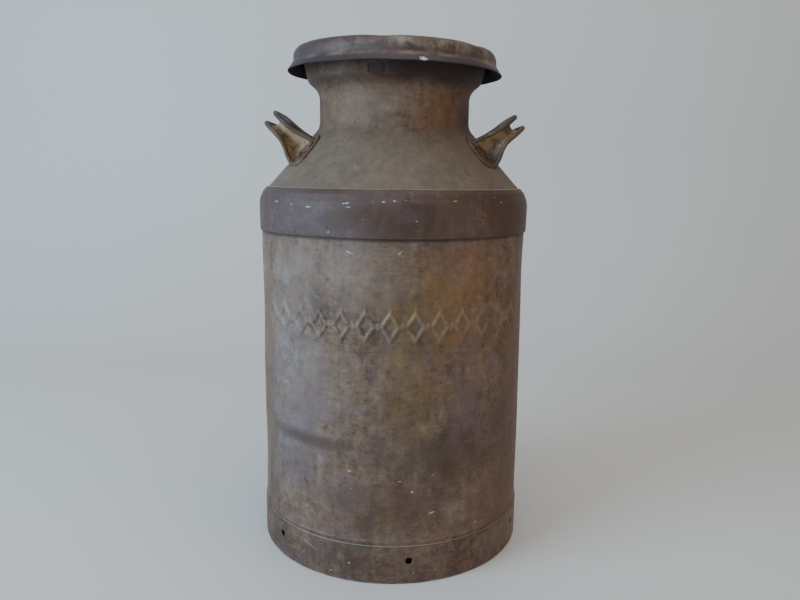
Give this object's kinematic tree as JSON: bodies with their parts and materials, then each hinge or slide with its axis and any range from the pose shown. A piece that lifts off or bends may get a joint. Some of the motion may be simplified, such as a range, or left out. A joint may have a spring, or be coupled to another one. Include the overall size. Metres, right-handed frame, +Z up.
{
  "type": "milk can",
  "caption": "Tall sheet-steel milk can with a sloping breast, narrow flared neck, pressed side handles, foot and breast hoops, and a lift-out umbrella cover with a strap.",
  "frame": {"origin": "on the floor under the middle of the can", "axes": "+Z up along the can's axis, +X and -X towards the two handles, -Y towards the front, side seam on +Y"},
  "size_m": [0.3342, 0.3342, 0.6112],
  "materials": {
    "tinned_body": "old tinned sheet steel under a brown and grey rust patina",
    "rusted_hoop": "darker violet-brown rusted hoop steel, worn at its edges",
    "handle_steel": "pressed steel, ochre inside and dark along the flanges",
    "cover_steel": "dark rusted sheet with grey worn patches",
    "solder": "dull grey solder bead, partly rusted over"
  },
  "bodies": {
    "can": {"body_shell": "tinned_body", "bottom_pan": "tinned_body", "bottom_hoop": "rusted_hoop", "breast_and_neck": "tinned_body", "breast_hoop": "rusted_hoop", "mouth_wire": "handle_steel", "breast_hoop_solder": "solder", "bottom_hoop_solder": "solder", "bottom_pan_solder": "solder", "handle_left": "handle_steel", "handle_right": "handle_steel", "handle_left_rivet_front_lower": "handle_steel", "handle_left_rivet_front_upper": "handle_steel", "handle_left_rivet_rear_lower": "handle_steel", "handle_left_rivet_rear_upper": "handle_steel", "handle_right_rivet_front_lower": "handle_steel", "handle_right_rivet_front_upper": "handle_steel", "handle_right_rivet_rear_lower": "handle_steel", "handle_right_rivet_rear_upper": "handle_steel"},
    "cover": {"cover_rim": "cover_steel", "cover_plug": "cover_steel", "cover_strap": "cover_steel", "cover_solder": "solder", "cover_rivet_left_front": "cover_steel", "cover_rivet_left_rear": "cover_steel", "cover_rivet_right_front": "cover_steel", "cover_rivet_right_rear": "cover_steel"}
  },
  "joints": [
    {"name": "cover_lift", "type": "slide", "parent": "can", "child": "cover", "axis": [0, 0, 1], "range_m": [0, 0.12]}
  ]
}
